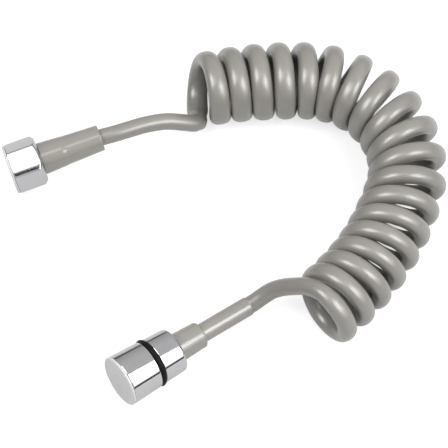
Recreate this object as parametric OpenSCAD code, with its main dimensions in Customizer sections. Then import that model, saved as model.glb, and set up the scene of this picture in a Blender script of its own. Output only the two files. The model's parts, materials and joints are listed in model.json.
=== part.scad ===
// Coiled spring hose with a hexagon swivel nut on one end and a round swivel
// nut on the other, lying on a flat surface in an open C.
// Millimetres. +Z is up, Z = 0 is the surface, and the origin is the middle of
// the hose's footprint. The supply end is at -X, and the spray end at -Y.

/* [Hose] */
// Outer diameter of the hose where it is straight
hose_d = 9; // [8.6:0.1:9.4]
// Bore of the hose
hose_bore = 6; // [5.4:0.1:6.2]
// Outer diameter of the coil
coil_d = 41.6; // [39:0.2:44]
// Wall of a plain tube that holds as much plastic as the coil's turns
coil_wall = 2.4; // [2:0.1:4]
// Width of one flattened turn, measured along the coil
turn_w = 11; // [10:0.1:12.4]
// Depth of one flattened turn, measured across the coil
turn_t = 8.8; // [7:0.1:9]

/* [Coil route] */
// Place of the coil's supply end along X
coil_x = -17.4; // [-19:0.1:-16]
// Place of the coil's supply end along Y
coil_y = 78.3; // [77:0.1:80]
// Direction of the coil at its supply end, anticlockwise from +X
coil_heading = 13.5; // [12:0.5:15]
// Radius of the gently curved arm at the supply end
supply_arm_r = 236; // [200:1:280]
// Angle that the supply arm turns through
supply_arm_turn = 15; // [12:0.5:18]
// Radius of the bend
bend_r = 54.5; // [50:0.5:60]
// Angle of the bend that stays put when the hose is pulled
bend_turn = 57; // [50:1:62]
// Angle of the bend that opens when the hose is pulled
reach_turn = 50; // [45:1:55]
// Radius of the gently curved arm at the spray end
spray_arm_r = 164; // [140:1:190]
// Angle that the spray arm turns through
spray_arm_turn = 30.5; // [28:0.5:32]

/* [Supply end] */
// Place of the supply fitting's closed face along X
nut_x = -112.2; // [-114:0.1:-110]
// Place of the supply fitting's closed face along Y
nut_y = 32.4; // [31:0.1:34]
// Height of the supply fitting's closed face above the surface, at its middle
nut_z = 13.6; // [13.5:0.1:15]
// Direction of the supply fitting from its face to the hose, from +X
nut_heading = 19; // [17:0.5:21]
// Rise of the supply fitting from its face to the hose
nut_tilt = 7; // [5:0.5:9]
// Width of the nut across its flats
nut_af = 24; // [23.5:0.5:26]
// Distance from the supply fitting's closed face to the rear of the nut
nut_l = 17.5; // [17:0.1:19]
// Clock angle of the hexagon about the nut's axis
nut_clock = -5.5; // [-30:0.5:30]
// Largest diameter of the grey sleeve, next to the nut
sleeve_d = 16.7; // [16:0.1:18]
// Diameter of the grey sleeve at the hose
sleeve_end_d = 14; // [13:0.1:15]
// Length of the grey sleeve
sleeve_l = 33.2; // [30:0.1:36]

/* [Spray end] */
// Place of the round fitting's closed face along X
cap_x = -51.3; // [-53:0.1:-50]
// Place of the round fitting's closed face along Y
cap_y = -93.2; // [-94:0.1:-92]
// Height of the round fitting's closed face above the surface, at its middle
cap_z = 14.9; // [14.8:0.1:17]
// Direction of the round fitting from its face to the hose, from +X
cap_heading = 36; // [34:0.5:38]
// Fall of the round fitting from its face to the hose
cap_tilt = 5; // [3:0.5:5]
// Diameter of the round nut at its mouth
round_nut_d = 26.6; // [25.5:0.1:26.6]
// Diameter of the round nut at the rubber ring
round_nut_rear_d = 25.2; // [24.6:0.1:26]
// Outer diameter of the rubber ring
ring_d = 26.2; // [25.6:0.1:26.4]
// Thickness of the rubber ring
ring_t = 2.6; // [2.2:0.1:3]
// Diameter of the rear barrel at the rubber ring
barrel_d = 24.6; // [24:0.1:25]
// Diameter of the rear barrel at the collar
barrel_rear_d = 23.6; // [23:0.1:24]
// Length of the rear barrel
barrel_l = 13; // [12:0.1:14]
// Diameter of the grey collar at the barrel
collar_d = 15.2; // [14.6:0.1:16]
// Diameter of the grey collar at its rounded rear edge
collar_rear_d = 14; // [13.4:0.1:14.4]
// Length of the grey collar
collar_l = 16; // [14:0.1:18]
// Outer diameter of the slim sleeve on the hose
slim_d = 10; // [9.8:0.1:10.4]
// Length of the slim sleeve that shows
slim_l = 30; // [26:0.1:32]

/* [Dust caps] */
// Diameter of each cap's rim
cap_d = 26.6; // [26:0.1:27]
// Thickness of each cap's rim
cap_rim_t = 1.2; // [1:0.1:1.6]

/* [Thread] */
// Smooth bore at the crests of the G 1/2 internal thread
thread_d = 18.9; // [18.6:0.05:19]
// Length of the thread in each nut
thread_l = 8.75; // [8:0.05:9]

/* [Hidden] */
$fn = 96;

hose_grey = [0.64, 0.63, 0.60];
sleeve_grey = [0.58, 0.57, 0.54];
chrome = [0.80, 0.80, 0.81];
brass = [0.80, 0.66, 0.36];
nylon = [0.93, 0.93, 0.90];
steel = [0.72, 0.73, 0.74];
washer_black = [0.12, 0.12, 0.12];
cap_grey = [0.78, 0.78, 0.78];

eps = 0.01;
// Radial clearance of a part that turns on another
running = 0.05;
// Gap between faces that turn or slide against each other
face_gap = 0.05;
// Gap between the nut and the grey sleeve
nut_gap = 0.3;
// Gap along the coil between the turns that open and the last turn
reach_gap = 0.3;
tube_sides = 12;

// Stations along either fitting, measured from its closed face
nut_start = cap_rim_t + face_gap;
thread_end = nut_start + thread_l;
// Turned relief behind the thread, a little wider than its crests
relief_d = thread_d + 0.5;
washer_gap = 0.3;
washer_start = thread_end + washer_gap;
washer_t = 2;
flange_start = washer_start + washer_t;
flange_t = 1.7;
flange_end = flange_start + flange_t;
glide_t = 0.9;
shoulder = flange_end + 2 * face_gap + glide_t;

// Pieces that both fittings hold
washer_d = 18.4;
washer_bore = 11;
flange_d = 18;
waterway = 4.5;
barb_depth = 0.2;
barb_tip_d = hose_bore - 2 * barb_depth;
barb_step = 3;
barb_count = 5;
ferrule_wall = 1.4;
ferrule_d = hose_d + 2 * ferrule_wall;
ferrule_l = 12;
// Free length before and after a ferrule
ferrule_gap = 1;
neck_d = 12;

// Both dust caps
cap_rim_edge = 0.5;
plug_l = 7;
plug_gap = 0.08;
plug_wall = 1.5;

// The supply fitting's own stations
nut_front_d = 26;
nut_front_chamfer = 1;
nut_rear_chamfer = 2.5;
nut_rear_d = nut_af - 1.5;
bare_neck = 2.5;
supply_hose_start = nut_l + bare_neck;
supply_ferrule_start = supply_hose_start + ferrule_gap;
sleeve_start = nut_l + nut_gap;
sleeve_taper = 0.7;
sleeve_step = 12;
sleeve_band = 2;
sleeve_band_depth = 0.3;
sleeve_end = sleeve_start + sleeve_l;

// The round fitting's own stations
round_nut_end = 18;
spigot_d = 14;
ring_gap = 0.15;
ring_start = round_nut_end + ring_gap;
ring_seat_d = ring_d - 2 * ring_t;
ring_end_gap = 0.1;
barrel_start = ring_start + ring_t + ring_end_gap;
barrel_end = barrel_start + barrel_l;
barrel_edge = 1.4;
stem_d = 10;
stem_reach = 3.5;
spray_hose_start = barrel_start + stem_reach;
spray_ferrule_start = spray_hose_start + ferrule_gap;
collar_end = barrel_end + collar_l;
collar_edge = 1.6;
slim_start = spray_ferrule_start + ferrule_l + ferrule_gap;
slim_end = collar_end + slim_l;

// Direction from a fitting's closed face to the hose
function along_axis(heading, tilt) =
    [cos(tilt) * cos(heading), cos(tilt) * sin(heading), sin(tilt)];
function supply_point(station) =
    [nut_x, nut_y, nut_z] + station * along_axis(nut_heading, nut_tilt);
function spray_point(station) =
    [cap_x, cap_y, cap_z] + station * along_axis(cap_heading, -cap_tilt);

// The free stretches of the hose, between the fittings and the coil
supply_route = [
    [-58, 50.5, 20.5],
    [-51, 53, 20.5],
    [-40.5, 57, 20],
    [-30, 60, 18.5],
    [-24, 61, 16.5],
    [-18.5, 62, 14],
    [-15, 63, 12],
    [-12.5, 65, 10.5]
];
spray_route = [
    [43.5, -49.5, 33.5],
    [35, -45, 26],
    [31, -43.5, 22.5],
    [25.5, -42.5, 17.5],
    [20.5, -43.5, 13],
    [17, -45, 10.5]
];

// The coil's centre line is a chain of level arcs, each a clockwise turn.
// An arc is [start x, start y, heading, radius, turn].
function arc_centre(arc) =
    [arc[0] + arc[3] * sin(arc[2]), arc[1] - arc[3] * cos(arc[2])];
function next_arc(arc, radius, turn) =
    let (
        centre = arc_centre(arc),
        heading = arc[2] - arc[4]
    )
    [centre[0] - arc[3] * sin(heading), centre[1] + arc[3] * cos(heading), heading, radius, turn];

end_turn_angle = turn_w / spray_arm_r * 180 / PI;
reach_gap_angle = reach_gap / spray_arm_r * 180 / PI;
end_ring_angle = turn_w / supply_arm_r * 180 / PI;
// How far a cut runs past the ends of an arc
overcut_angle = 0.2;
supply_arm = [coil_x, coil_y, coil_heading, supply_arm_r, supply_arm_turn];
bend_arc = next_arc(supply_arm, bend_r, bend_turn);
reach_arc = next_arc(bend_arc, bend_r, reach_turn);
spray_arc = next_arc(reach_arc, spray_arm_r, spray_arm_turn - end_turn_angle - reach_gap_angle);
gap_arc = next_arc(spray_arc, spray_arm_r, reach_gap_angle);
end_arc = next_arc(gap_arc, spray_arm_r, end_turn_angle);

function unit(v) = v / norm(v);
function route_tangent(route, i) =
    unit(route[min(i + 1, len(route) - 1)] - route[max(i - 1, 0)]);
function route_ring(route, i, d) =
    let (
        ahead = route_tangent(route, i),
        side = unit(cross(ahead, [0, 0, 1])),
        over = cross(side, ahead)
    )
    [for (k = [0:tube_sides - 1])
        let (a = 360 * k / tube_sides)
        route[i] + d / 2 * (cos(a) * side + sin(a) * over)];

module swept_tube(route, d) {
    rings = len(route);
    points = [for (i = [0:rings - 1]) each route_ring(route, i, d)];
    walls = [for (i = [0:rings - 2], k = [0:tube_sides - 1])
        let (next = (k + 1) % tube_sides)
        [
            i * tube_sides + k,
            i * tube_sides + next,
            (i + 1) * tube_sides + next,
            (i + 1) * tube_sides + k
        ]];
    first = [for (k = [tube_sides - 1:-1:0]) k];
    last = [for (k = [0:tube_sides - 1]) (rings - 1) * tube_sides + k];
    polyhedron(points = points, faces = concat(walls, [first, last]), convexity = 6);
}

// Stands a fitting's parts along its axis: local +Z runs from face to hose
module at_supply() {
    translate([nut_x, nut_y, nut_z]) rotate([0, 90 - nut_tilt, nut_heading]) children();
}

module at_spray() {
    translate([cap_x, cap_y, cap_z]) rotate([0, 90 + cap_tilt, cap_heading]) children();
}

// A cylinder or cone between two stations
module rod(start, end, d1, d2) {
    translate([0, 0, start]) cylinder(h = end - start, d1 = d1, d2 = is_undef(d2) ? d1 : d2);
}

module tube(start, end, d, bore) {
    difference() {
        rod(start, end, d);
        rod(start - eps, end + eps, bore);
    }
}

// A cone that ends in a rounded edge
module rounded_rod(start, end, d1, d2, edge) {
    rod(start, end - edge, d1, d2);
    rod(end - edge - eps, end, d2 - 2 * edge);
    translate([0, 0, end - edge]) rotate_extrude() translate([d2 / 2 - edge, 0]) circle(r = edge, $fn = 32);
}

// Brass tail: a flange that the nut holds, a stem, and barbs that grip the hose
module insert(stem, hose_start) {
    barb_end = hose_start + barb_count * barb_step;
    difference() {
        union() {
            rod(flange_start, flange_end, flange_d);
            rod(flange_end - eps, hose_start, stem);
            rod(hose_start - eps, barb_end, barb_tip_d);
            for (i = [0:barb_count - 1])
                rod(hose_start + i * barb_step, hose_start + (i + 1) * barb_step, hose_bore, barb_tip_d);
        }
        rod(flange_start - 1, barb_end + 1, waterway);
    }
}

module washer() {
    tube(washer_start, flange_start, washer_d, washer_bore);
}

module glide_ring(bore) {
    tube(flange_end + face_gap, flange_end + face_gap + glide_t, flange_d, bore);
}

// The smooth bore at the crests of a nut's thread, its relief, and the hole for the neck
module nut_bore(end, neck) {
    rod(-1, thread_end, thread_d);
    rod(thread_end - eps, shoulder, relief_d);
    rod(shoulder - eps, end + 1, neck);
}

// A solid bar of the coil's axis, between two angles along an arc
module coil_bar(arc, from, to, d) {
    centre = arc_centre(arc);
    translate([centre[0], centre[1], coil_d / 2])
        rotate([0, 0, arc[2] - to + 90])
            rotate_extrude(angle = to - from, $fn = 180) translate([arc[3], 0]) circle(d = d, $fn = 72);
}

// One arc of the coil as a plain tube of the coil's outer diameter
module coil_arc(arc, wall) {
    difference() {
        coil_bar(arc, 0, arc[4], coil_d);
        coil_bar(arc, -overcut_angle, arc[4] + overcut_angle, coil_d - 2 * wall);
    }
}

// A cap with a rim that covers a nut's mouth and a hollow plug that grips its thread
module push_cap() {
    plug_d = thread_d - 2 * plug_gap;
    rod(0, cap_rim_edge, cap_d - 2 * cap_rim_edge, cap_d);
    rod(cap_rim_edge - eps, cap_rim_t, cap_d);
    tube(cap_rim_t - eps, cap_rim_t + plug_l, plug_d, plug_d - 2 * plug_wall);
}

module hex_nut() {
    edge_d = nut_af / cos(30);
    front_end = nut_start + nut_front_chamfer;
    chamfer_start = nut_l - nut_rear_chamfer;
    color(chrome) at_supply() difference() {
        intersection() {
            translate([0, 0, nut_start])
                rotate([0, 0, nut_clock])
                    cylinder(h = nut_l - nut_start, d = edge_d, $fn = 6);
            union() {
                rod(nut_start, front_end, nut_front_d, edge_d + 1);
                rod(front_end - eps, chamfer_start, edge_d + 1);
                rod(chamfer_start - eps, nut_l, edge_d + 1, nut_rear_d);
            }
        }
        nut_bore(nut_l, neck_d + 2 * running);
    }
}

module supply_washer() {
    color(washer_black) at_supply() washer();
}

module supply_insert() {
    color(brass) at_supply() insert(neck_d, supply_hose_start);
}

module supply_glide_ring() {
    color(nylon) at_supply() glide_ring(neck_d);
}

module supply_ferrule() {
    color(steel) at_supply()
        tube(supply_ferrule_start, supply_ferrule_start + ferrule_l, ferrule_d, hose_d);
}

module supply_sleeve() {
    inner_end = supply_ferrule_start + ferrule_l + ferrule_gap;
    waist_d = sleeve_d - sleeve_taper;
    tail_d = waist_d - 2 * sleeve_band_depth;
    band_end = sleeve_start + sleeve_step + sleeve_band;
    color(sleeve_grey) at_supply() difference() {
        union() {
            rod(sleeve_start, sleeve_start + sleeve_step, sleeve_d, waist_d);
            rod(sleeve_start + sleeve_step - eps, band_end, waist_d, tail_d);
            rod(band_end - eps, sleeve_end, tail_d, sleeve_end_d);
        }
        rod(sleeve_start - 1, supply_hose_start, neck_d);
        rod(supply_hose_start - eps, inner_end, ferrule_d);
        rod(inner_end - eps, sleeve_end + 1, hose_d);
    }
}

module supply_lead() {
    route = concat([supply_point(supply_hose_start), supply_point(sleeve_end)], supply_route);
    color(hose_grey) difference() {
        swept_tube(route, hose_d);
        at_supply() rod(supply_hose_start - 1, supply_hose_start + barb_count * barb_step + 1, hose_bore);
    }
}

module coil_supply_arm() {
    color(hose_grey) difference() {
        coil_bar(supply_arm, 0, supply_arm_turn, coil_d);
        coil_bar(supply_arm, -overcut_angle, end_ring_angle + overcut_angle, coil_d - 2 * turn_t);
        coil_bar(supply_arm, end_ring_angle, supply_arm_turn + overcut_angle, coil_d - 2 * coil_wall);
    }
}

module coil_bend() {
    color(hose_grey) coil_arc(bend_arc, coil_wall);
}

module coil_reach() {
    color(hose_grey) coil_arc(reach_arc, coil_wall);
}

module coil_spray_arm() {
    color(hose_grey) coil_arc(spray_arc, coil_wall);
}

module coil_end_turn() {
    color(hose_grey) coil_arc(end_arc, turn_t);
}

module spray_lead() {
    route = concat(spray_route, [spray_point(slim_end), spray_point(spray_hose_start)]);
    color(hose_grey) difference() {
        swept_tube(route, hose_d);
        at_spray() rod(spray_hose_start - 1, spray_hose_start + barb_count * barb_step + 1, hose_bore);
    }
}

module slim_sleeve() {
    color(sleeve_grey) at_spray() tube(slim_start, slim_end, slim_d, hose_d);
}

module collar() {
    color(sleeve_grey) at_spray() difference() {
        rounded_rod(barrel_end, collar_end, collar_d, collar_rear_d, collar_edge);
        rod(barrel_end - 1, slim_start, ferrule_d);
        rod(slim_start - eps, collar_end + 1, slim_d);
    }
}

module swivel_barrel() {
    color(chrome) at_spray() difference() {
        union() {
            rod(flange_end, ring_start, spigot_d);
            rod(ring_start - eps, barrel_start, ring_seat_d);
            rounded_rod(barrel_start - eps, barrel_end, barrel_d, barrel_rear_d, barrel_edge);
        }
        rod(flange_end - 1, spray_hose_start, stem_d);
        rod(spray_hose_start - eps, barrel_end + 1, ferrule_d);
    }
}

module rubber_ring() {
    color([0.05, 0.05, 0.05]) at_spray()
        translate([0, 0, ring_start + ring_t / 2])
            rotate_extrude() translate([ring_d / 2 - ring_t / 2, 0]) circle(d = ring_t, $fn = 48);
}

module round_nut() {
    color(chrome) at_spray() difference() {
        rod(nut_start, round_nut_end, round_nut_d, round_nut_rear_d);
        nut_bore(round_nut_end, spigot_d + 2 * running);
    }
}

module spray_washer() {
    color(washer_black) at_spray() washer();
}

module spray_insert() {
    color(brass) at_spray() insert(stem_d, spray_hose_start);
}

module spray_glide_ring() {
    color(nylon) at_spray() glide_ring(spigot_d);
}

module spray_ferrule() {
    color(steel) at_spray()
        tube(spray_ferrule_start, spray_ferrule_start + ferrule_l, ferrule_d, hose_d);
}

module nut_cap() {
    color(cap_grey) at_supply() push_cap();
}

module spray_cap() {
    color(cap_grey) at_spray() push_cap();
}

hex_nut();
supply_washer();
supply_insert();
supply_glide_ring();
supply_ferrule();
supply_sleeve();
supply_lead();
coil_supply_arm();
coil_bend();
coil_reach();
coil_spray_arm();
coil_end_turn();
spray_lead();
slim_sleeve();
collar();
swivel_barrel();
rubber_ring();
round_nut();
spray_washer();
spray_insert();
spray_glide_ring();
spray_ferrule();
nut_cap();
spray_cap();
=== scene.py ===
"""Coiled spring hose with two swivel fittings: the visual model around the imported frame.

Metres. +Z is up and Z = 0 is the floor. The supply fitting is at -X, the spray fitting at -Y.
"""
import json
import math

import bpy
from mathutils import Matrix, Vector


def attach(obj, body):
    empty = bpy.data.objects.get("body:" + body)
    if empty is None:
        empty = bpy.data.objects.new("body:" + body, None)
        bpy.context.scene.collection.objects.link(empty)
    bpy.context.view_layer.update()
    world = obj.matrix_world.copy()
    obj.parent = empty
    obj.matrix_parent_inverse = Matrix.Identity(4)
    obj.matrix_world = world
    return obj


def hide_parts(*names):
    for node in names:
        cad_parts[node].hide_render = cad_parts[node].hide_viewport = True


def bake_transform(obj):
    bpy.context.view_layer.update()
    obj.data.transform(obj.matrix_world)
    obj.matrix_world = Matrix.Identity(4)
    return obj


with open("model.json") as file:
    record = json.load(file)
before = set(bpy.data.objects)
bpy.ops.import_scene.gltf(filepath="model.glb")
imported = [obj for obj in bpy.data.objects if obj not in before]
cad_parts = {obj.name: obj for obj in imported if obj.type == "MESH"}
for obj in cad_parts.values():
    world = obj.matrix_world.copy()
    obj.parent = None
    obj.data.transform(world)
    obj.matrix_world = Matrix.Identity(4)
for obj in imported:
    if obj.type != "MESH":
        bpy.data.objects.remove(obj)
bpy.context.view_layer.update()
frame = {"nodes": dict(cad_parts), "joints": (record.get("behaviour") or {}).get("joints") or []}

MM = 0.001
scene = bpy.context.scene
joints = {joint["name"]: joint for joint in frame["joints"]}

# --- Camera -----------------------------------------------------------------------------

CAMERA_ELEVATION = 59
CAMERA_DISTANCE = 1.1
LOOK_AT = Vector((0.0009, -0.0048, 0.0202))
LENS = 171.2


def make_camera():
    tilt = math.radians(CAMERA_ELEVATION)
    data = bpy.data.cameras.new("camera")
    data.lens = LENS
    data.clip_start = 0.05
    data.clip_end = 50
    camera = bpy.data.objects.new("camera", data)
    camera.location = LOOK_AT + CAMERA_DISTANCE * Vector((0, -math.cos(tilt), math.sin(tilt)))
    camera.rotation_euler = (math.radians(90) - tilt, 0, 0)
    scene.collection.objects.link(camera)
    scene.camera = camera


make_camera()

# --- Mesh helpers -----------------------------------------------------------------------

# Points round a turned part
ROUND_COLUMNS = 128


def new_mesh(name, vertices, faces):
    mesh = bpy.data.meshes.new(name)
    mesh.from_pydata(vertices, [], faces)
    mesh.update()
    for polygon in mesh.polygons:
        polygon.use_smooth = True
    piece = bpy.data.objects.new(name, mesh)
    scene.collection.objects.link(piece)
    return piece


def fitting_frame(joint):
    """Matrix of a fitting: local Z runs from its closed face along its axis, and local X points down."""
    along = Vector(joint["axis"]).normalized()
    across = Vector((0, 0, 1)).cross(along).normalized()
    down = across.cross(along)
    matrix = Matrix((down, across, along)).transposed().to_4x4()
    matrix.translation = Vector(joint["pos_m"])
    return matrix


AT_SUPPLY = fitting_frame(joints["hex_nut_spin"])
AT_SPRAY = fitting_frame(joints["round_nut_spin"])


def arc_at_corner(before, corner, after, radius, steps):
    """Points of a fillet between two straight sides of an outline."""
    corner, before, after = Vector(corner), Vector(before), Vector(after)
    to_before = (before - corner).normalized()
    to_after = (after - corner).normalized()
    half = to_before.angle(to_after) / 2
    reach = min(radius / math.tan(half), (before - corner).length / 2, (after - corner).length / 2)
    radius = reach * math.tan(half)
    centre = corner + (to_before + to_after).normalized() * (radius / math.sin(half))
    start = corner + to_before * reach - centre
    end = corner + to_after * reach - centre
    turn = start.angle_signed(end)
    spin = [Matrix.Rotation(-turn * i / steps, 2) for i in range(steps + 1)]
    return [centre + matrix @ start for matrix in spin]


def rounded(corners, steps=5):
    """A closed outline of (station, radius) points from corners given as (station, radius, fillet)."""
    points = []
    count = len(corners)
    for i, (station, radius, fillet) in enumerate(corners):
        before = corners[i - 1][:2]
        after = corners[(i + 1) % count][:2]
        if fillet > 0:
            points += arc_at_corner(before, (station, radius), after, fillet, steps)
        else:
            points.append(Vector((station, radius)))
    return points


def held(points):
    """Adds a point near each end of a long straight stretch, so that its shading stays straight."""
    reach = 0.1
    long_stretch = 1.0
    result = []
    for i, point in enumerate(points):
        result.append(point)
        stretch = points[(i + 1) % len(points)] - point
        ahead = stretch.normalized()
        if stretch.length > long_stretch:
            result += [point + ahead * reach, point + ahead * (stretch.length - reach)]
    return result


def fixed_rows(points):
    """Rows of a turned shape: the same (station, radius) at every angle."""
    return [lambda angle, p=point: (p[0], p[1]) for point in points]


def loft(name, at, rows, columns, discs=False):
    """A closed shell round a fitting's axis. A row turns an angle into (station, radius) in mm.

    The last row joins the first or, with discs, a flat disc closes each of them.
    """
    vertices = []
    for row in rows:
        for k in range(columns):
            angle = 2 * math.pi * k / columns
            station, radius = row(angle)
            local = Vector((radius * math.cos(angle), radius * math.sin(angle), station))
            vertices.append(at @ (local * MM))
    faces = []
    for i in range(len(rows) - discs):
        j = (i + 1) % len(rows)
        for k in range(columns):
            m = (k + 1) % columns
            faces.append((i * columns + k, i * columns + m, j * columns + m, j * columns + k))
    if discs:
        faces.append(tuple(reversed(range(columns))))
        faces.append(tuple((len(rows) - 1) * columns + k for k in range(columns)))
    return new_mesh(name, vertices, faces)


def turned(name, at, corners, columns=ROUND_COLUMNS, steps=5):
    """A turned part from the corners of its half section, taken clockwise round the section."""
    return loft(name, at, fixed_rows(held(rounded(corners, steps))), columns)


# --- Hose -------------------------------------------------------------------------------

HOSE_D = 0.009
COIL_HEIGHT = 0.0208
# Where the coil's centre line starts, and its heading there in degrees from +X
COIL_START = (-0.0174, 0.0783)
COIL_HEADING = 13.5
# The coil's centre line is a chain of level clockwise arcs: (radius, turn in degrees)
COIL_ARCS = [(0.236, 15), (0.0545, 107), (0.164, 30.5)]
FIRST_TURN = -0.1
LAST_TURN = 18.5
STEPS_PER_TURN = 48
SIDES = 32
# Half depth of a turn's flattened section, and how square it is: 2 is an ellipse
TURN_HALF_DEPTH = 0.0044
SQUARENESS = 2.25
# A turn's half width is this much more low on its inner side, and as much less opposite. A turn
# starts at the bottom of the coil and goes out, over the top and in, so 0.85 is low and inside.
PRESSED_WIDER = 0.00035
PRESSED_AT = 0.85
# Room that a turn keeps on each side, where its neighbours press on it
TURN_CLEARANCE = 0.00005
# Rings at each end of the coil over which the round hose takes the turns' flattened section
CHANGE_RINGS = 4

# How the turns stand, given at a few of them: their radius, half their width, how far along
# the coil they are and how far out they sit (mm), and how much their tops and outer sides lead
GIVEN_TURNS = (0, 3, 6, 9, 12, 15, 18.5)
RADIUS = (15.6, 16.4, 16.4, 16.4, 16.4, 16.4, 16.4)
HALF_WIDTH = (5.5, 5.5, 5.4, 5.25, 5.1, 5.0, 5.3)
STATION = (5.3, 42.6, 82, 125.4, 167.7, 205.5, 246.3)
LEAN = (0.10, 0.07, 0.12, 0.10, 0.03, -0.02, -0.05)
YAW = (0.05, 0.05, 0.04, -0.10, -0.14, -0.05, 0.055)
OUTWARD = (-0.9, -0.2, 0, 0, 0.3, 1.0, 0.4)

# Stations along the two fittings, in mm from their closed faces. The hose is straight inside them.
SUPPLY_HOSE_START = 22
SUPPLY_HOSE_MIDDLE = 36
SUPPLY_SLEEVE_END = 51
SPRAY_HOSE_START = 24.35
SPRAY_HOSE_MIDDLE = 52
SLIM_SLEEVE_END = 79.85

# The free stretches of the hose, between the fittings and the coil
SUPPLY_ROUTE = [
    (-0.058, 0.0505, 0.0205),
    (-0.051, 0.053, 0.0205),
    (-0.0405, 0.057, 0.020),
    (-0.030, 0.060, 0.0185),
    (-0.024, 0.061, 0.0165),
    (-0.0185, 0.062, 0.014),
    (-0.015, 0.063, 0.012),
    (-0.0125, 0.065, 0.0105),
]
SPRAY_ROUTE = [
    (0.0435, -0.0495, 0.0335),
    (0.035, -0.045, 0.026),
    (0.031, -0.0435, 0.0225),
    (0.0255, -0.0425, 0.0175),
    (0.0205, -0.0435, 0.013),
    (0.017, -0.045, 0.0105),
]
LEAD_STEP = 0.0025
# Their curves are aimed by a point this far (mm) past the hose's end and by a ring this far into the coil
AIM_PAST_END = 6
AIM_RING = 4


def station_point(at, station):
    return at @ Vector((0, 0, station * MM))


def coil_axis(s):
    """Point and unit direction of the coil's centre line at a length along it."""
    x, y = COIL_START
    heading = math.radians(COIL_HEADING)
    remaining = s
    last = len(COIL_ARCS) - 1
    for i, (radius, turn) in enumerate(COIL_ARCS):
        span = radius * math.radians(turn)
        here = remaining if i == last else min(remaining, span)
        after = heading - here / radius
        x += radius * (math.sin(heading) - math.sin(after))
        y += radius * (math.cos(after) - math.cos(heading))
        heading = after
        remaining -= here
        if remaining <= 0:
            break
    return Vector((x, y, COIL_HEIGHT)), Vector((math.cos(heading), math.sin(heading), 0))


def by_turn(values, turn):
    """A smooth curve through values given at a few turns."""
    last = len(values) - 1
    i = 0
    while i < last - 1 and turn > GIVEN_TURNS[i + 1]:
        i += 1
    slopes = []
    for k in (i, i + 1):
        before, after = max(k - 1, 0), min(k + 1, last)
        slopes.append((values[after] - values[before]) / (GIVEN_TURNS[after] - GIVEN_TURNS[before]))
    span = GIVEN_TURNS[i + 1] - GIVEN_TURNS[i]
    t = (turn - GIVEN_TURNS[i]) / span
    if t < 0:
        return values[0] + slopes[0] * t * span
    rise = values[i + 1] - values[i]
    smooth = t * t * (3 - 2 * t)
    return values[i] + rise * smooth + span * t * (1 - t) * (slopes[0] * (1 - t) - slopes[1] * t)


def coil_point(turn):
    """Centre of the hose, and its direction away from the coil's middle, after a number of turns."""
    middle, ahead = coil_axis(by_turn(STATION, turn) * MM)
    left = Vector((-ahead.y, ahead.x, 0))
    angle = 2 * math.pi * turn
    up, lateral = -math.cos(angle), math.sin(angle)
    outward = left * lateral + Vector((0, 0, up))
    slant = by_turn(LEAN, turn) * up + by_turn(YAW, turn) * lateral
    aside = left * (by_turn(OUTWARD, turn) * MM)
    return middle + aside + (outward + ahead * slant) * (by_turn(RADIUS, turn) * MM), outward


def smooth_line(points, step):
    """Points about a step apart on a Catmull-Rom curve. Its first and last given points only aim it."""
    line = []
    for i in range(1, len(points) - 2):
        p0, p1, p2, p3 = points[i - 1:i + 3]
        t1 = (p1 - p0).length ** 0.5
        t2 = t1 + (p2 - p1).length ** 0.5
        t3 = t2 + (p3 - p2).length ** 0.5
        count = max(1, round((p2 - p1).length / step))
        for k in range(count):
            t = t1 + (t2 - t1) * k / count
            a1 = p0.lerp(p1, t / t1)
            a2 = p1.lerp(p2, (t - t1) / (t2 - t1))
            a3 = p2.lerp(p3, (t - t2) / (t3 - t2))
            b1 = a1.lerp(a2, t / t2)
            b2 = a2.lerp(a3, (t - t1) / (t3 - t1))
            line.append(b1.lerp(b2, (t - t1) / (t2 - t1)))
    return line


def hose_line():
    """Centre, outward direction and turn number of each ring, from supply to spray end.

    The last two are None off the coil.
    """
    count = round((LAST_TURN - FIRST_TURN) * STEPS_PER_TURN)
    turns = [FIRST_TURN + (LAST_TURN - FIRST_TURN) * i / count for i in range(count + 1)]
    coil = [coil_point(turn) for turn in turns]

    in_supply = (SUPPLY_HOSE_START - AIM_PAST_END, SUPPLY_HOSE_START, SUPPLY_HOSE_MIDDLE, SUPPLY_SLEEVE_END)
    supply = [station_point(AT_SUPPLY, station) for station in in_supply]
    supply += [Vector(point) for point in SUPPLY_ROUTE] + [coil[0][0], coil[AIM_RING][0]]
    supply_line = smooth_line(supply, LEAD_STEP)

    in_spray = (SLIM_SLEEVE_END, SPRAY_HOSE_MIDDLE, SPRAY_HOSE_START, SPRAY_HOSE_START - AIM_PAST_END)
    spray = [coil[-1 - AIM_RING][0], coil[-1][0]] + [Vector(point) for point in SPRAY_ROUTE]
    spray += [station_point(AT_SPRAY, station) for station in in_spray]
    spray_line = smooth_line(spray, LEAD_STEP)

    centres = supply_line + [point for point, _ in coil] + spray_line[1:]
    outwards = [None] * len(supply_line) + [out for _, out in coil] + [None] * (len(spray_line) - 1)
    numbers = [None] * len(supply_line) + turns + [None] * (len(spray_line) - 1)
    return centres, outwards, numbers


def line_directions(centres):
    """Unit direction of the hose at each ring."""
    last = len(centres) - 1
    return [(centres[min(i + 1, last)] - centres[max(i - 1, 0)]).normalized() for i in range(last + 1)]


def carried(outward, before, after):
    """A ring's side direction, carried along the hose with the least twist."""
    return before.rotation_difference(after) @ outward


def ring_sides(directions, outwards):
    """A side direction for each ring: away from the coil's middle, and carried on along the leads."""
    count = len(directions)
    on_coil = [i for i in range(count) if outwards[i] is not None]
    sides = [None] * count
    for i in on_coil:
        sides[i] = (outwards[i] - directions[i] * outwards[i].dot(directions[i])).normalized()
    for i in range(on_coil[0] - 1, -1, -1):
        sides[i] = carried(sides[i + 1], directions[i + 1], directions[i])
    for i in range(on_coil[-1] + 1, count):
        sides[i] = carried(sides[i - 1], directions[i - 1], directions[i])
    return sides


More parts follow.
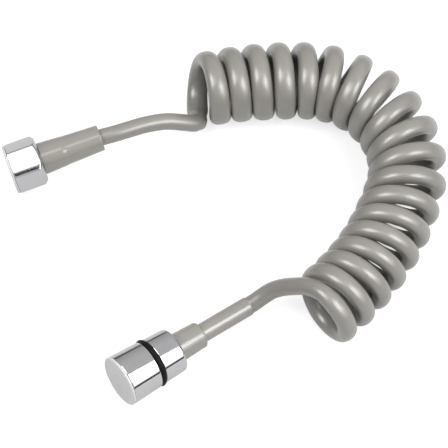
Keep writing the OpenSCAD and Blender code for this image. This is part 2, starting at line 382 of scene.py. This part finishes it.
def turn_half_width(turn):
    """Half width of the hose on the coil: neighbours press it narrower where they are close."""
    here = coil_point(turn)[0]
    gap = min((coil_point(turn + step)[0] - here).length for step in (-1, 1))
    free = by_turn(HALF_WIDTH, turn) * MM + PRESSED_WIDER * math.cos(2 * math.pi * (turn - PRESSED_AT))
    return min(free, gap / 2 - TURN_CLEARANCE)


def ring_half_axes(numbers):
    """Half width, half depth and squareness of each ring: round on the leads, with a soft change."""
    circle = (HOSE_D / 2, HOSE_D / 2, 2)
    on_coil = [i for i, turn in enumerate(numbers) if turn is not None]
    axes = []
    for i, turn in enumerate(numbers):
        if turn is None:
            axes.append(circle)
            continue
        share = min(1, min(i - on_coil[0], on_coil[-1] - i) / CHANGE_RINGS)
        share = share * share * (3 - 2 * share)
        coiled = (turn_half_width(turn), TURN_HALF_DEPTH, SQUARENESS)
        axes.append(tuple(a + (b - a) * share for a, b in zip(circle, coiled)))
    return axes


def make_hose():
    """One closed tube from fitting to fitting, and its ring centres."""
    centres, outwards, numbers = hose_line()
    directions = line_directions(centres)
    sides = ring_sides(directions, outwards)
    half_axes = ring_half_axes(numbers)
    vertices = []
    for centre, ahead, side, (width, depth, square) in zip(centres, directions, sides, half_axes):
        along = ahead.cross(side)
        for k in range(SIDES):
            angle = 2 * math.pi * k / SIDES
            c, s = math.cos(angle), math.sin(angle)
            out = (abs(c) ** square + abs(s) ** square) ** (-1 / square)
            vertices.append(centre + side * (depth * c * out) + along * (width * s * out))
    faces = []
    for i in range(len(centres) - 1):
        for k in range(SIDES):
            m = (k + 1) % SIDES
            faces.append((i * SIDES + k, i * SIDES + m, (i + 1) * SIDES + m, (i + 1) * SIDES + k))
    faces.append(tuple(reversed(range(SIDES))))
    faces.append(tuple((len(centres) - 1) * SIDES + k for k in range(SIDES)))
    hose = new_mesh("hose", vertices, faces)
    add_hose_coordinates(hose, centres)
    return hose, centres


def add_hose_coordinates(hose, centres):
    """UV map of the hose: the length along it in metres, and the share of the way round it."""
    lengths = [0.0]
    for before, after in zip(centres, centres[1:]):
        lengths.append(lengths[-1] + (after - before).length)
    layer = hose.data.uv_layers.new(name="along_and_round")
    for polygon in hose.data.polygons:
        columns = [hose.data.loops[i].vertex_index % SIDES for i in polygon.loop_indices]
        wraps = len(columns) == 4 and max(columns) - min(columns) > 1
        for i, column in zip(polygon.loop_indices, columns):
            ring = hose.data.loops[i].vertex_index // SIDES
            share = (column + SIDES * (wraps and column == 0)) / SIDES
            layer.data[i].uv = (lengths[ring], share)


def bend_by_rings(hose, centres):
    """Puts every ring's points at its centre, bakes the hose's transform into its mesh, and puts the points
    back.
    """
    shape = [vertex.co.copy() for vertex in hose.data.vertices]
    for i, vertex in enumerate(hose.data.vertices):
        vertex.co = centres[i // SIDES]
    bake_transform(hose)
    for vertex, place in zip(hose.data.vertices, shape):
        vertex.co = place
    hose.data.update()


hose, hose_centres = make_hose()
bend_by_rings(hose, hose_centres)
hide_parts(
    "supply_lead", "coil_supply_arm", "coil_bend", "coil_reach", "coil_spray_arm",
    "coil_end_turn", "spray_lead",
)

# --- Materials --------------------------------------------------------------------------

# Most of a noise texture's values lie between these
NOISE_LOW = 0.3
NOISE_HIGH = 0.7


def linear(r, g, b):
    """A colour as the eye reads it, 0 to 1, as the shader's own linear values."""
    return tuple(c / 12.92 if c <= 0.04045 else ((c + 0.055) / 1.055) ** 2.4 for c in (r, g, b)) + (1,)


def node_material(name):
    material = bpy.data.materials.new(name)
    material.use_nodes = True
    tree = material.node_tree
    return material, tree, tree.nodes["Principled BSDF"]


def noise(tree, vector, scale, detail=3.0):
    """A noise texture's value. The scale counts its cells per unit of the vector."""
    node = tree.nodes.new("ShaderNodeTexNoise")
    node.inputs["Scale"].default_value = scale
    node.inputs["Detail"].default_value = detail
    tree.links.new(vector, node.inputs["Vector"])
    return node.outputs["Fac"]


def remapped(tree, value, low, high):
    """A noise value spread from low to high. A switch of 0 or 1 gives low or high itself."""
    node = tree.nodes.new("ShaderNodeMapRange")
    node.inputs["From Min"].default_value = NOISE_LOW
    node.inputs["From Max"].default_value = NOISE_HIGH
    node.inputs["To Min"].default_value = low
    node.inputs["To Max"].default_value = high
    tree.links.new(value, node.inputs["Value"])
    return node.outputs["Result"]


def mixed(tree, share, colour_a, colour_b):
    node = tree.nodes.new("ShaderNodeMix")
    node.data_type = "RGBA"
    tree.links.new(share, node.inputs["Factor"])
    node.inputs["A"].default_value = colour_a
    node.inputs["B"].default_value = colour_b
    return node.outputs["Result"]


def bump(tree, shader, height, distance):
    node = tree.nodes.new("ShaderNodeBump")
    node.inputs["Distance"].default_value = distance
    tree.links.new(height, node.inputs["Height"])
    tree.links.new(node.outputs["Normal"], shader.inputs["Normal"])


def object_vector(tree):
    return tree.nodes.new("ShaderNodeTexCoord").outputs["Object"]


def moulded(name, light, dark, roughness, coat=0.0, gloss=0.5, patches=45):
    """Plastic or rubber: slow colour patches, uneven gloss and a fine moulded grain."""
    grain = 1800
    grain_depth = 0.00002
    material, tree, shader = node_material(name)
    place = object_vector(tree)
    patch = remapped(tree, noise(tree, place, patches), 0, 1)
    tree.links.new(mixed(tree, patch, light, dark), shader.inputs["Base Color"])
    shader.inputs["Specular IOR Level"].default_value = gloss
    rough = remapped(tree, noise(tree, place, patches * 6), roughness - 0.04, roughness + 0.06)
    tree.links.new(rough, shader.inputs["Roughness"])
    shader.inputs["Coat Weight"].default_value = coat
    shader.inputs["Coat Roughness"].default_value = 0.17
    bump(tree, shader, noise(tree, place, grain, 2.0), grain_depth)
    return material


def polished_chrome():
    """Chrome plate: a faint tint change, and gloss broken by fine polishing haze."""
    material, tree, shader = node_material("chrome_plate")
    place = object_vector(tree)
    patch = remapped(tree, noise(tree, place, 120), 0, 1)
    colour = mixed(tree, patch, (0.54, 0.54, 0.55, 1), (0.52, 0.52, 0.53, 1))
    tree.links.new(colour, shader.inputs["Base Color"])
    shader.inputs["Metallic"].default_value = 1.0
    haze = remapped(tree, noise(tree, place, 900, 4.0), 0.05, 0.10)
    tree.links.new(haze, shader.inputs["Roughness"])
    bump(tree, shader, noise(tree, place, 500, 2.0), 0.000001)
    return material


def turned_metal(name, light, dark, roughness):
    """Bare turned metal for the brass tails and steel bands inside the fittings."""
    material, tree, shader = node_material(name)
    place = object_vector(tree)
    patch = remapped(tree, noise(tree, place, 200), 0, 1)
    tree.links.new(mixed(tree, patch, light, dark), shader.inputs["Base Color"])
    shader.inputs["Metallic"].default_value = 1.0
    haze = remapped(tree, noise(tree, place, 1500), roughness - 0.05, roughness + 0.08)
    tree.links.new(haze, shader.inputs["Roughness"])
    bump(tree, shader, noise(tree, place, 2500), 0.00001)
    return material


def hose_plastic():
    """Extruded hose: faint drawn lines along its length, slow tone changes and a soft gloss."""
    changes_per_metre, lines_round = 6.0, 34.0
    material, tree, shader = node_material("hose_skin")
    coordinates = tree.nodes.new("ShaderNodeTexCoord")
    stretch = tree.nodes.new("ShaderNodeMapping")
    stretch.inputs["Scale"].default_value = (changes_per_metre, lines_round, 1.0)
    tree.links.new(coordinates.outputs["UV"], stretch.inputs["Vector"])
    drawn = noise(tree, stretch.outputs["Vector"], 1.0, 3.0)
    place = coordinates.outputs["Object"]
    tone = remapped(tree, noise(tree, place, 35, 2.0), 0, 1)
    colour = mixed(tree, tone, linear(0.43, 0.42, 0.40), linear(0.41, 0.40, 0.38))
    tree.links.new(colour, shader.inputs["Base Color"])
    tree.links.new(remapped(tree, drawn, 0.27, 0.33), shader.inputs["Roughness"])
    shader.inputs["Specular IOR Level"].default_value = 0.6
    shader.inputs["Coat Weight"].default_value = 0.75
    shader.inputs["Coat IOR"].default_value = 1.5
    shader.inputs["Coat Roughness"].default_value = 0.32
    bump(tree, shader, drawn, 0.000008)
    return material


MATERIALS = {
    "chrome": polished_chrome(),
    "hose_plastic": hose_plastic(),
    "sleeve_plastic": moulded(
        "sleeve_skin", linear(0.45, 0.44, 0.42), linear(0.43, 0.42, 0.40), 0.2, coat=0.8, patches=60
    ),
    "cap_plastic": moulded(
        "cap_skin", linear(0.68, 0.68, 0.68), linear(0.66, 0.66, 0.66), 0.34, coat=0.2
    ),
    "ring_rubber": moulded(
        "ring_skin", (0.004, 0.004, 0.004, 1), (0.007, 0.007, 0.007, 1), 0.4, gloss=0.08, patches=150
    ),
    "washer_rubber": moulded("washer_skin", (0.03, 0.03, 0.03, 1), (0.045, 0.045, 0.045, 1), 0.6),
    "brass": turned_metal("brass_tail", (0.78, 0.56, 0.26, 1), (0.70, 0.49, 0.21, 1), 0.24),
    "nylon": moulded("nylon_skin", (0.82, 0.82, 0.76, 1), (0.76, 0.76, 0.70, 1), 0.45),
    "ferrule_steel": turned_metal("steel_band", (0.62, 0.62, 0.63, 1), (0.52, 0.52, 0.53, 1), 0.28),
}


def dress(piece, slot):
    """Gives a new piece the material of a record's slot."""
    piece.data.materials.clear()
    piece.data.materials.append(MATERIALS[slot])


def dress_node(node, slot):
    """Gives a carried-over CAD node a finished material in its own slots."""
    for holder in frame["nodes"][node].material_slots:
        holder.material = MATERIALS[slot]


dress(hose, "hose_plastic")

# --- Supply fitting ---------------------------------------------------------------------

# Stations from each fitting's closed face, and radii, in mm. Both nuts start behind their caps and
# have the same bore: the thread (cut in the hexagon nut only), a relief and a shoulder that pulls on
# the tail's flange.
NUT_START = 1.25
THREAD_R = 9.45
THREAD_DEPTH = 1.0
THREAD_PITCH = 1.814
THREAD_START = 1.4
THREAD_END = 10.0
RELIEF_R = 9.7
SHOULDER = 15.0
# The sleeves' bores, round the hose and round the ferrule
HOSE_BORE_R = 4.55
FERRULE_BORE_R = 5.95

# The hexagon nut: its size, how its flats are turned and crowned, its rear chamfer and its front edge
FLAT_R = 12
NUT_LENGTH = 17.5
NUT_CLOCK = math.radians(-5.5)
CROWN_R = 132
CHAMFER_LENGTH = 2.5
FRONT_EDGE_R = 13.0
FRONT_EDGE_SLOPE = 1.2
NECK_R = 6.05
SLEEVE_START = 17.62


def hexagon_radius(angle):
    """Radius of the nut's six flats at an angle: slightly crowned by polishing, with soft corners."""
    sharpness = 90
    total = 0
    for k in range(6):
        lean = math.cos(angle - NUT_CLOCK - math.radians(30 + 60 * k))
        if lean > 0.5:
            fall = FLAT_R / 2 * (1 / lean ** 2 - 1) / CROWN_R
            total += (lean / (1 - fall)) ** sharpness
    return FLAT_R / total ** (1 / sharpness)


def softer_min(a, b):
    """The smaller of two radii, with a soft change from one to the other."""
    sharpness = 70
    return (a ** -sharpness + b ** -sharpness) ** (-1 / sharpness)


def thread_rows(start, end):
    """Rows of a real helical thread cut into a bore, running out softly at both ends."""
    spacing = 0.16
    run_out_length = 0.7
    # Shares of the pitch that are flat crest and flank; the rest is flat root
    crest, flank = 0.12, 0.76
    rows = []
    count = round((end - start) / spacing)
    for i in range(count + 1):
        station = start + (end - start) * i / count
        run_out = min(1.0, (station - start) / run_out_length, (end - station) / run_out_length)

        def row(angle, station=station, run_out=run_out):
            phase = (station / THREAD_PITCH - angle / (2 * math.pi)) % 1.0
            tooth = 1 - abs(2 * phase - 1)
            depth = min(1.0, max(0.0, (tooth - crest) / flank))
            return station, THREAD_R + THREAD_DEPTH * depth * run_out

        rows.append(row)
    return rows


def hexagon_rows():
    """The outside of the nut, from its broken front edge to its chamfered rear edge."""
    rows = []
    count = 56
    start = NUT_START + 0.1
    end = NUT_LENGTH - 0.35
    chamfer_start = NUT_LENGTH - CHAMFER_LENGTH
    # The rear chamfer's cone clears the corners at its start and cuts into the flats at its end
    wide = FLAT_R / math.cos(math.radians(30)) + 0.5
    narrow = FLAT_R - 0.75
    for i in range(count + 1):
        station = start + (end - start) * i / count
        fall = max(0.0, station - chamfer_start) / CHAMFER_LENGTH
        front = FRONT_EDGE_R + (station - NUT_START) * FRONT_EDGE_SLOPE
        cone = min(wide - (wide - narrow) * fall, front)

        def row(angle, station=station, cone=cone):
            return station, softer_min(hexagon_radius(angle), cone)

        rows.append(row)
    rear_edge = [(NUT_LENGTH - 0.1, FLAT_R - 0.95), (NUT_LENGTH, FLAT_R - 1.3)]
    return rows + fixed_rows(rear_edge)


def make_hex_nut():
    """Swivel nut: threaded bore, relief, shoulder and neck inside, and crowned flats outside."""
    columns = 288
    front = [(NUT_START, THREAD_R + 0.9), (NUT_START, FLAT_R - 0.5), (NUT_START + 0.03, FLAT_R - 0.15)]
    back = [
        (NUT_LENGTH, 7.4), (NUT_LENGTH, NECK_R + 0.4), (NUT_LENGTH - 0.3, NECK_R),
        (SHOULDER + 0.3, NECK_R), (SHOULDER, NECK_R + 0.2), (SHOULDER, RELIEF_R - 0.3),
        (SHOULDER - 0.3, RELIEF_R), (THREAD_END + 0.2, RELIEF_R),
    ]
    thread = thread_rows(THREAD_START, THREAD_END)[::-1]
    rows = fixed_rows(front) + hexagon_rows() + fixed_rows(back) + thread
    nut = loft("hex_nut_piece", AT_SUPPLY, rows, columns)
    dress(nut, "chrome")
    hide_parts("hex_nut")
    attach(nut, "hex_nut")


def make_supply_sleeve():
    """Two-step sleeve: a short thick barrel, a bevelled band, and a long tapering tail."""
    step = SLEEVE_START + 12
    mouth_r, mouth_end, ferrule_end = 6.02, 20, 34
    end = SUPPLY_SLEEVE_END
    corners = [
        (SLEEVE_START, mouth_r, 0.2), (SLEEVE_START, 8.7, 0.4), (step, 8.0, 0.5), (step + 2, 7.75, 0.5),
        (end, 7.0, 0.45), (end, 4.9, 0.35), (end - 1.2, HOSE_BORE_R, 0.2),
        (ferrule_end + 0.2, HOSE_BORE_R, 0), (ferrule_end, FERRULE_BORE_R, 0),
        (mouth_end + 0.2, FERRULE_BORE_R, 0), (mouth_end, mouth_r, 0),
    ]
    sleeve = turned("supply_sleeve_piece", AT_SUPPLY, corners)
    dress(sleeve, "sleeve_plastic")
    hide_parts("supply_sleeve")
    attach(sleeve, "root")


# --- Spray fitting ----------------------------------------------------------------------

ROUND_NUT_END = 18.0
BARREL_START = 20.85
BARREL_END = 33.85
COLLAR_END = 49.85
SLIM_START = 38.35
# The barrel's spigot, which the round nut turns on, its bore round the tail, and the slim sleeve
SPIGOT_R = 7.0
TAIL_BORE_R = 5.0
SLIM_R = 5.0


def make_round_nut():
    """Round swivel nut, slightly tapered, which turns on the barrel's spigot."""
    neck_r = SPIGOT_R + 0.05
    corners = [
        (NUT_START, 13.3, 0.55), (ROUND_NUT_END, 12.6, 0.6),
        (ROUND_NUT_END, 7.6, 0.3), (ROUND_NUT_END - 0.4, neck_r, 0.1), (SHOULDER, neck_r, 0.1),
        (SHOULDER, RELIEF_R, 0.2), (THREAD_END + 0.2, RELIEF_R, 0.1), (THREAD_END, THREAD_R, 0),
        (NUT_START, THREAD_R, 0.2),
    ]
    nut = turned("round_nut_piece", AT_SPRAY, corners)
    dress(nut, "chrome")
    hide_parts("round_nut")
    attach(nut, "round_nut")
    return nut


def make_barrel():
    """Rear barrel: the spigot, the seat of the rubber ring, and a rounded rear edge."""
    spigot_start, spigot_end = 14.0, 18.15
    seat_r = 10.5
    ferrule_start = 24.3
    corners = [
        (spigot_start, TAIL_BORE_R, 0.1), (spigot_start, SPIGOT_R, 0.2), (spigot_end, SPIGOT_R, 0.1),
        (spigot_end, seat_r, 0), (BARREL_START, seat_r, 0), (BARREL_START, 12.3, 0.5),
        (BARREL_END, 11.8, 1.4), (BARREL_END, 8.1, 0.3), (BARREL_END - 0.4, FERRULE_BORE_R, 0),
        (ferrule_start + 0.1, FERRULE_BORE_R, 0), (ferrule_start, TAIL_BORE_R, 0),
    ]
    barrel = turned("swivel_barrel_piece", AT_SPRAY, corners, steps=7)
    dress(barrel, "chrome")
    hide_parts("swivel_barrel")
    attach(barrel, "spray_end")
    return barrel


def make_rubber_ring():
    """O-ring, slightly squeezed between the round nut and the barrel."""
    station, middle_r = 19.45, 11.8
    half_length, half_height = 1.28, 1.3
    sides = 24
    points = []
    for k in range(sides):
        angle = 2 * math.pi * k / sides
        points.append((station + half_length * math.cos(angle), middle_r - half_height * math.sin(angle)))
    ring = loft("rubber_ring_piece", AT_SPRAY, fixed_rows(points[::-1]), ROUND_COLUMNS)
    dress(ring, "ring_rubber")
    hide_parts("rubber_ring")
    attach(ring, "spray_end")
    return ring


def make_collar():
    """Collar round the slim sleeve's end, with a rounded rear edge."""
    start = BARREL_END + 0.02
    bore_r = SLIM_R + 0.05
    corners = [
        (start, FERRULE_BORE_R, 0), (start, 7.6, 0.2), (COLLAR_END, 7.0, 1.7),
        (COLLAR_END, bore_r, 0.25), (SLIM_START, bore_r, 0), (SLIM_START, FERRULE_BORE_R, 0),
    ]
    collar = turned("collar_piece", AT_SPRAY, corners, steps=8)
    dress(collar, "sleeve_plastic")
    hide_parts("collar")
    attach(collar, "spray_end")
    return collar


def make_slim_sleeve():
    """Slim sleeve on the hose, from inside the collar to the free stretch."""
    corners = [
        (SLIM_START, HOSE_BORE_R, 0), (SLIM_START, SLIM_R, 0.1),
        (SLIM_SLEEVE_END, SLIM_R, 0.3), (SLIM_SLEEVE_END, HOSE_BORE_R, 0.1),
    ]
    sleeve = turned("slim_sleeve_piece", AT_SPRAY, corners, columns=96)
    dress(sleeve, "sleeve_plastic")
    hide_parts("slim_sleeve")
    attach(sleeve, "spray_end")
    return sleeve


def make_cap(name, at):
    """Push-in cap: a flat face just inside a raised bevelled rim, and a hollow plug behind it."""
    face, face_r = 0.2, 11.2
    rim_end, rim_r = 1.2, 13.3
    plug_end, plug_r, plug_bore_r = 8.2, 9.3, 7.9
    outline = rounded([
        (face, 7, 0), (face, face_r, 0.4), (0.0, face_r + 0.7, 0.15), (0.0, 12.75, 0.25),
        (0.45, 13.25, 0.25), (rim_end, rim_r, 0.2), (rim_end, plug_r + 0.07, 0.15),
        (plug_end, plug_r, 0.35), (plug_end, plug_bore_r, 0.25), (1.3, 7.87, 0.3), (1.3, 5, 0),
    ])
    cap = loft(name + "_piece", at, fixed_rows(outline), ROUND_COLUMNS, discs=True)
    dress(cap, "cap_plastic")
    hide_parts(name)
    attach(cap, name)
    return cap


make_hex_nut()
make_supply_sleeve()
make_cap("nut_cap", AT_SUPPLY)
spray_pieces = [
    make_slim_sleeve(), make_collar(), make_barrel(), make_rubber_ring(), make_round_nut(),
    make_cap("spray_cap", AT_SPRAY),
]

for end in ("supply", "spray"):
    dress_node(end + "_washer", "washer_rubber")
    dress_node(end + "_insert", "brass")
    dress_node(end + "_glide_ring", "nylon")
    dress_node(end + "_ferrule", "ferrule_steel")

# --- Floor and light --------------------------------------------------------------------


def make_floor():
    """A wide pale sheet that looks almost white, but shines little of that light onto the part."""
    half = 4.0
    shine_on_part, shine_in_view = 0.2, 0.65
    corners = [(-half, -half, 0), (half, -half, 0), (half, half, 0), (-half, half, 0)]
    floor = new_mesh("floor", corners, [(0, 1, 2, 3)])
    material, tree, shader = node_material("floor_paper")
    place = object_vector(tree)
    tone = remapped(tree, noise(tree, place, 3), 0, 1)
    colour = mixed(tree, tone, (0.36, 0.36, 0.36, 1), (0.35, 0.35, 0.35, 1))
    tree.links.new(colour, shader.inputs["Base Color"])
    shader.inputs["Roughness"].default_value = 0.9
    shader.inputs["Specular IOR Level"].default_value = 0.1
    shader.inputs["Emission Color"].default_value = (1, 1, 1, 1)
    seen = tree.nodes.new("ShaderNodeLightPath").outputs["Is Camera Ray"]
    tree.links.new(remapped(tree, seen, shine_on_part, shine_in_view), shader.inputs["Emission Strength"])
    floor.data.materials.append(material)


def soft_box(name, azimuth, elevation, distance, size, radiance, mirrored=True):
    """A rectangular soft light that faces the part. Azimuth 0 stands at -Y, and 90 at +X.

    One that isn't mirrored lights the part but doesn't show in its gloss.
    """
    a, e = math.radians(azimuth), math.radians(elevation)
    place = Vector((math.sin(a) * math.cos(e), -math.cos(a) * math.cos(e), math.sin(e)))
    width, height = size
    data = bpy.data.lights.new(name, "AREA")
    data.shape = "RECTANGLE"
    data.size = width
    data.size_y = height
    data.energy = radiance * math.pi * width * height
    light = bpy.data.objects.new(name, data)
    light.location = place * distance
    light.rotation_euler = (-place).to_track_quat("-Z", "Y").to_euler()
    light.visible_camera = False
    light.visible_glossy = mirrored
    scene.collection.objects.link(light)
    return light


def make_nut_panel():
    """A level panel above the part with a dark card along its near edge.

    The supply nut's topmost flat shows the panel, and the flat's lower edge shows the card.
    """
    heading = math.radians(19)
    near_edge = Vector((-0.121, -0.556, 1.5))
    width, depth, card_depth = 0.7, 0.5, 0.12
    toward = Vector((math.sin(heading), -math.cos(heading), 0))
    panel = soft_box("nut_panel", 0, 90, near_edge.z, (width, depth), radiance=2.4)
    panel.location = near_edge - toward * (depth / 2)
    panel.rotation_euler = (0, 0, heading)
    panel.visible_diffuse = False
    side = width / 2
    corners = [(-side, -card_depth, 0), (side, -card_depth, 0), (side, 0, 0), (-side, 0, 0)]
    card = new_mesh("dark_card", corners, [(0, 1, 2, 3)])
    card.location = near_edge
    card.rotation_euler = (0, 0, heading)
    black, near_black = (0.004, 0.004, 0.004, 1), (0.006, 0.006, 0.006, 1)
    card.data.materials.append(moulded("card_paper", black, near_black, 0.9, gloss=0))


def ramp(tree, value, stops):
    """A grey that follows stops of (position, level)."""
    node = tree.nodes.new("ShaderNodeValToRGB")
    elements = node.color_ramp.elements
    while len(elements) < len(stops):
        elements.new(0.5)
    for element, (position, level) in zip(elements, stops):
        element.position = position
        element.color = (level, level, level, 1)
    tree.links.new(value, node.inputs["Fac"])
    return node.outputs["Color"]


def make_world():
    """Pale studio walls with a dark skirting, which chrome shows as thin dark lines."""
    world = bpy.data.worlds.new("studio")
    world.use_nodes = True
    scene.world = world
    tree = world.node_tree
    direction = tree.nodes.new("ShaderNodeTexCoord").outputs["Generated"]
    split = tree.nodes.new("ShaderNodeSeparateXYZ")
    tree.links.new(direction, split.inputs["Vector"])
    height = tree.nodes.new("ShaderNodeMapRange")
    height.inputs["From Min"].default_value = -1
    height.inputs["From Max"].default_value = 1
    tree.links.new(split.outputs["Z"], height.inputs["Value"])
    # Height runs from 0 straight down to 1 straight up, with the horizon at 0.5
    floor_level, skirting, wall, upper_wall, ceiling = 0.4, 0.015, 0.5, 0.65, 0.75
    walls = ramp(tree, height.outputs["Result"], [
        (0.0, floor_level), (0.49, floor_level), (0.50, skirting), (0.535, skirting),
        (0.56, wall), (0.75, upper_wall), (0.9, ceiling), (1.0, ceiling),
    ])
    path = tree.nodes.new("ShaderNodeLightPath")
    seen = tree.nodes.new("ShaderNodeMix")
    seen.data_type = "RGBA"
    tree.links.new(path.outputs["Is Camera Ray"], seen.inputs["Factor"])
    tree.links.new(walls, seen.inputs["A"])
    seen.inputs["B"].default_value = (0.9, 0.9, 0.9, 1)
    tree.links.new(seen.outputs["Result"], tree.nodes["Background"].inputs["Color"])


make_floor()
make_world()
soft_box("left_box", -72, 54, distance=1.3, size=(0.72, 0.72), radiance=7.5)
soft_box("right_box", 55, 48, distance=1.3, size=(0.72, 0.72), radiance=7.5)
make_nut_panel()
soft_box("top_fill", 105, 56, distance=1.6, size=(1.2, 1.0), radiance=3.8, mirrored=False)
soft_box("side_panel", 66, 24, distance=1.5, size=(1.2, 0.7), radiance=1.8)
soft_box("back_panel", 180, 36, distance=1.5, size=(1.8, 0.5), radiance=1.0, mirrored=False)
scene.view_settings.view_transform = "Standard"
